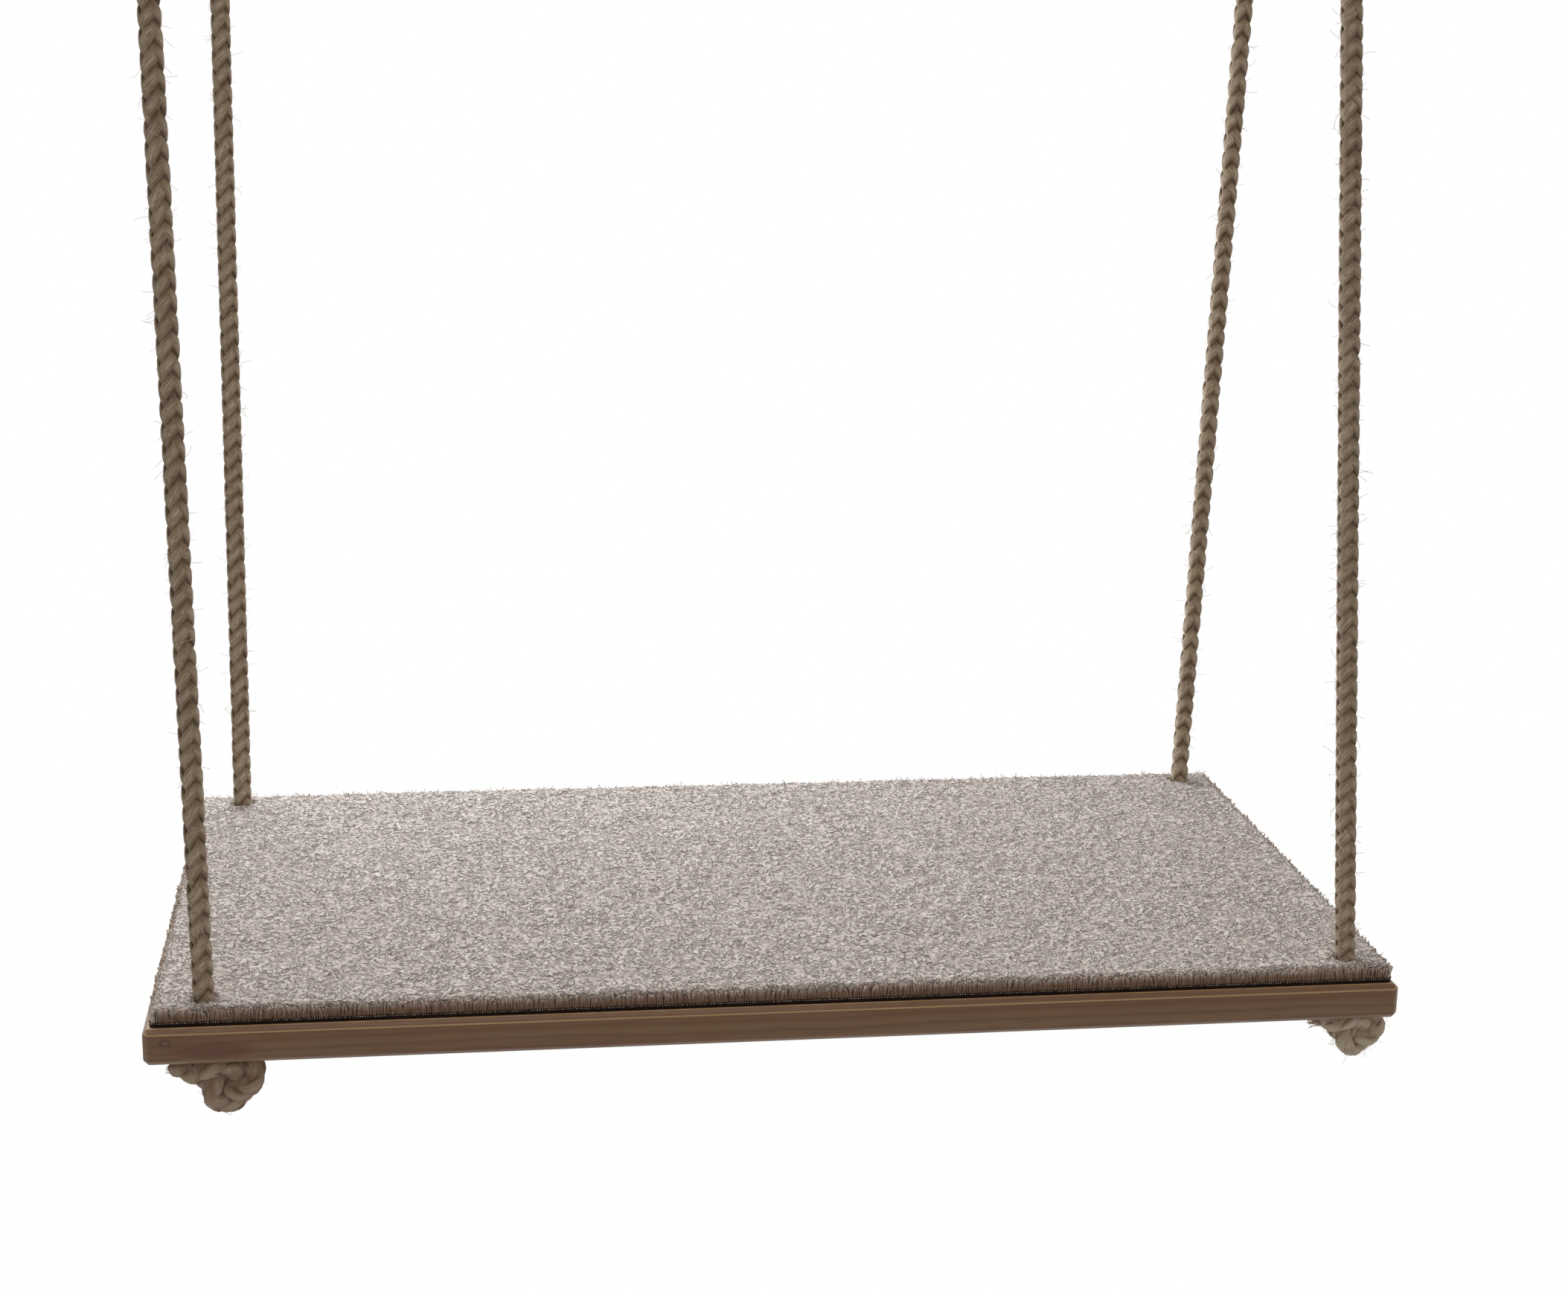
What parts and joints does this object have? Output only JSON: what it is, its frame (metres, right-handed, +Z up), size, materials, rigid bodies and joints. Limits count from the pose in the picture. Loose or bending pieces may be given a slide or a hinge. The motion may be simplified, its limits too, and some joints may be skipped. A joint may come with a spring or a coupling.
{
  "type": "hanging cat perch",
  "caption": "Cat swing perch: a pine board with a carpet top, slung on plaited ropes that pass down through it to stopper knots, with links and screwed plates at the ceiling.",
  "frame": {"origin": "the ceiling plane, over the centre of the board", "axes": "+X along the board's length, +Y away from the viewer, +Z up"},
  "size_m": [0.6205, 0.32, 0.662],
  "materials": {
    "pine": "oiled pine with eased arrises",
    "pile": "short heathered loop pile",
    "latex": "dark carpet backing",
    "jute": "plaited natural fibre rope",
    "twine": "waxed twine",
    "zinc": "bright zinc plate"
  },
  "bodies": {
    "ceiling_plates": {"ceiling_plate_front_left": "zinc", "screw_a_front_left": "zinc", "screw_b_front_left": "zinc", "ceiling_plate_back_left": "zinc", "screw_a_back_left": "zinc", "screw_b_back_left": "zinc", "ceiling_plate_front_right": "zinc", "screw_a_front_right": "zinc", "screw_b_front_right": "zinc", "ceiling_plate_back_right": "zinc", "screw_a_back_right": "zinc", "screw_b_back_right": "zinc"},
    "link_front_left": {"quick_link_front_left": "zinc", "link_sleeve_front_left": "zinc"},
    "rope_front_left": {"rope_eye_front_left": "jute", "seizing_front_left": "twine", "rope_front_left": "jute"},
    "link_back_left": {"quick_link_back_left": "zinc", "link_sleeve_back_left": "zinc"},
    "rope_back_left": {"rope_eye_back_left": "jute", "seizing_back_left": "twine", "rope_back_left": "jute", "rope_neck_back_left": "jute"},
    "link_front_right": {"quick_link_front_right": "zinc", "link_sleeve_front_right": "zinc"},
    "rope_front_right": {"rope_eye_front_right": "jute", "seizing_front_right": "twine", "rope_front_right": "jute", "rope_neck_front_right": "jute"},
    "link_back_right": {"quick_link_back_right": "zinc", "link_sleeve_back_right": "zinc"},
    "rope_back_right": {"rope_eye_back_right": "jute", "seizing_back_right": "twine", "rope_back_right": "jute", "rope_neck_back_right": "jute"},
    "neck_front_left": {"rope_neck_front_left": "jute"},
    "perch": {"board": "pine", "carpet_backing": "latex", "carpet_pile": "pile", "stopper_knot_front_left": "jute", "stopper_knot_back_left": "jute", "stopper_knot_front_right": "jute", "stopper_knot_back_right": "jute"}
  },
  "joints": [
    {"name": "link_swing_front_left", "type": "hinge", "parent": "ceiling_plates", "child": "link_front_left", "pos_m": [-0.2795, -0.143, -0.0195], "axis": [1, 0, 0], "range_deg": [-18, 18]},
    {"name": "rope_sway_front_left", "type": "hinge", "parent": "link_front_left", "child": "rope_front_left", "pos_m": [-0.2795, -0.143, -0.0532], "axis": [0, 1, 0], "range_deg": [-5, 5]},
    {"name": "link_swing_back_left", "type": "hinge", "parent": "ceiling_plates", "child": "link_back_left", "pos_m": [-0.269, 0.143, -0.0195], "axis": [1, 0, 0], "range_deg": [-18, 18]},
    {"name": "rope_sway_back_left", "type": "hinge", "parent": "link_back_left", "child": "rope_back_left", "pos_m": [-0.269, 0.143, -0.0532], "axis": [0, 1, 0], "range_deg": [-5, 5]},
    {"name": "link_swing_front_right", "type": "hinge", "parent": "ceiling_plates", "child": "link_front_right", "pos_m": [0.24, -0.143, -0.0195], "axis": [1, 0, 0], "range_deg": [-18, 18]},
    {"name": "rope_sway_front_right", "type": "hinge", "parent": "link_front_right", "child": "rope_front_right", "pos_m": [0.24, -0.143, -0.0532], "axis": [0, 1, 0], "range_deg": [-5, 5]},
    {"name": "link_swing_back_right", "type": "hinge", "parent": "ceiling_plates", "child": "link_back_right", "pos_m": [0.289, 0.143, -0.0195], "axis": [1, 0, 0], "range_deg": [-18, 18]},
    {"name": "rope_sway_back_right", "type": "hinge", "parent": "link_back_right", "child": "rope_back_right", "pos_m": [0.289, 0.143, -0.0532], "axis": [0, 1, 0], "range_deg": [-5, 5]},
    {"name": "side_swing", "type": "hinge", "parent": "rope_front_left", "child": "neck_front_left", "pos_m": [-0.273, -0.143, -0.577], "axis": [0, 1, 0], "range_deg": [-5, 5]},
    {"name": "fore_aft_swing", "type": "hinge", "parent": "neck_front_left", "child": "perch", "pos_m": [-0.273, -0.143, -0.577], "axis": [1, 0, 0], "range_deg": [-18, 18]}
  ],
  "couplings": [
    {"joint": "link_swing_front_left", "follows": "fore_aft_swing", "ratio": -1},
    {"joint": "rope_sway_front_left", "follows": "side_swing", "ratio": -1},
    {"joint": "link_swing_back_left", "follows": "fore_aft_swing", "ratio": -1},
    {"joint": "rope_sway_back_left", "follows": "side_swing", "ratio": -1},
    {"joint": "link_swing_front_right", "follows": "fore_aft_swing", "ratio": -1},
    {"joint": "rope_sway_front_right", "follows": "side_swing", "ratio": -1},
    {"joint": "link_swing_back_right", "follows": "fore_aft_swing", "ratio": -1},
    {"joint": "rope_sway_back_right", "follows": "side_swing", "ratio": -1}
  ]
}
